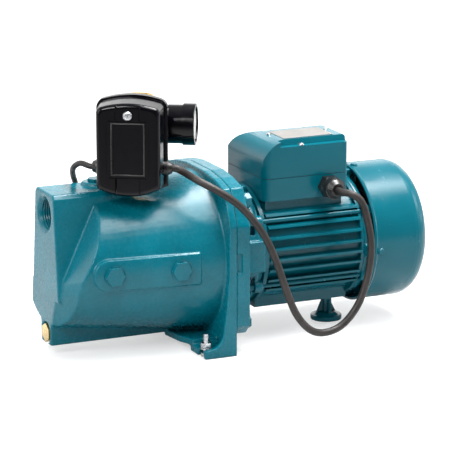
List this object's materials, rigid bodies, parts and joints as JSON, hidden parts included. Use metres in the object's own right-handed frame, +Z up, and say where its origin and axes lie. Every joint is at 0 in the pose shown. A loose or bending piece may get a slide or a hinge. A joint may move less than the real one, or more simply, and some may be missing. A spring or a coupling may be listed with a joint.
{
  "type": "shallow well jet pump",
  "caption": "Self-priming shallow well jet pump: cast casing with threaded suction port, finned motor with fan cover and terminal box, brass fitting with pressure switch and gauge.",
  "frame": {"origin": "on the floor, on the shaft's vertical plane, midway between the two foot bolts", "axes": "+X along the shaft from the suction face to the fan, +Z up, -Y the side with the cable gland and the two side plugs"},
  "size_m": [0.3915, 0.233, 0.2582],
  "materials": {
    "casting_paint": "satin teal enamel over sand-cast iron, slight orange peel",
    "motor_paint": "gloss teal enamel over die-cast aluminium and sheet steel",
    "lid_plastic": "gloss teal moulded plastic",
    "zinc_steel": "bright zinc plate",
    "bearing_steel": "ground bearing steel",
    "shaft_steel": "turned stainless steel",
    "brass": "machined yellow brass",
    "black_plastic": "gloss black moulding",
    "gland_plastic": "black nylon",
    "cable_rubber": "dark grey rubber sheath",
    "seal_rubber": "nitrile rubber",
    "hydraulic_plastic": "glass-filled noryl",
    "nozzle_plastic": "natural noryl",
    "ceramic": "lapped ceramic face",
    "core_steel": "stacked electrical steel",
    "copper": "enamelled copper wire, lacquered",
    "rotor_aluminium": "die-cast squirrel cage",
    "plate_aluminium": "satin blank plate",
    "capacitor_plastic": "white can",
    "terminal_plastic": "phenolic block",
    "glass": "clear flat glass",
    "dial_white": "white enamel dial",
    "needle_red": "red enamel"
  },
  "bodies": {
    "pump_body": {"pump_casing": "casting_paint", "casing_seal": "seal_rubber", "side_plugs": "casting_paint", "foot_bolts": "zinc_steel", "foot_nuts": "zinc_steel", "foot_washers": "zinc_steel", "jet_nozzle": "nozzle_plastic", "venturi_tube": "hydraulic_plastic", "diffuser": "hydraulic_plastic", "seal_seat": "ceramic", "motor_bracket": "casting_paint", "flange_bolts": "casting_paint", "motor_frame": "motor_paint", "stator_core": "core_steel", "stator_windings": "copper", "tie_rods": "motor_paint", "bearing_outer_rings": "bearing_steel", "rear_shield": "motor_paint", "fan_cover": "motor_paint", "fan_cover_screws": "motor_paint", "support_foot": "motor_paint", "box_base": "lid_plastic", "box_gasket": "seal_rubber", "box_lid": "lid_plastic", "box_screws": "zinc_steel", "rating_plate": "plate_aluminium", "capacitor": "capacitor_plastic", "terminal_block": "terminal_plastic", "cable_gland": "gland_plastic", "gland_nut": "gland_plastic", "motor_cable": "cable_rubber", "mains_cord": "cable_rubber", "mains_plug": "gland_plastic", "five_way_fitting": "brass", "gauge_case": "black_plastic", "gauge_ring": "black_plastic", "gauge_glass": "glass", "gauge_dial": "dial_white", "switch_flange": "zinc_steel", "switch_base": "black_plastic", "switch_springs": "zinc_steel", "switch_terminals": "brass", "switch_glands": "gland_plastic", "switch_cover": "black_plastic", "cover_screw": "zinc_steel"},
    "rotor": {"shaft": "shaft_steel", "rotor_core": "rotor_aluminium", "impeller": "brass", "impeller_nut": "brass", "seal_head": "seal_rubber", "bearing_inner_rings": "bearing_steel", "cooling_fan": "gland_plastic"},
    "bearing_balls": {"bearing_balls": "bearing_steel"},
    "gauge_needle": {"gauge_needle": "needle_red"},
    "switch_plunger": {"switch_plunger": "nozzle_plastic"},
    "switch_lever": {"switch_lever": "zinc_steel"},
    "filler_plug": {"filler_plug": "casting_paint"},
    "drain_plug": {"drain_plug": "brass"}
  },
  "joints": [
    {"name": "rotor_spin", "type": "hinge", "parent": "pump_body", "child": "rotor", "pos_m": [0, 0, 0.09], "axis": [1, 0, 0], "continuous": true},
    {"name": "bearing_spin", "type": "hinge", "parent": "pump_body", "child": "bearing_balls", "pos_m": [0, 0, 0.09], "axis": [1, 0, 0], "continuous": true},
    {"name": "needle_sweep", "type": "hinge", "parent": "pump_body", "child": "gauge_needle", "pos_m": [0.00394, -0.02588, 0.2225], "axis": [-0.8616, 0.5075, 0], "range_deg": [0, 270]},
    {"name": "plunger_travel", "type": "slide", "parent": "pump_body", "child": "switch_plunger", "axis": [-0.5075, -0.8616, 0], "range_m": [0, 0.0006]},
    {"name": "lever_tilt", "type": "hinge", "parent": "pump_body", "child": "switch_lever", "pos_m": [-0.05929, -0.03274, 0.19], "axis": [0.8616, -0.5075, 0], "range_deg": [0, 1.9]},
    {"name": "filler_lift", "type": "slide", "parent": "pump_body", "child": "filler_plug", "axis": [0, 0, 1], "range_m": [0, 0.03]},
    {"name": "drain_pull", "type": "slide", "parent": "pump_body", "child": "drain_plug", "axis": [-1, 0, 0], "range_m": [0, 0.03]}
  ],
  "couplings": [
    {"joint": "bearing_spin", "follows": "rotor_spin", "ratio": 0.3873},
    {"joint": "lever_tilt", "follows": "plunger_travel", "rad_per_m": 52.36}
  ]
}
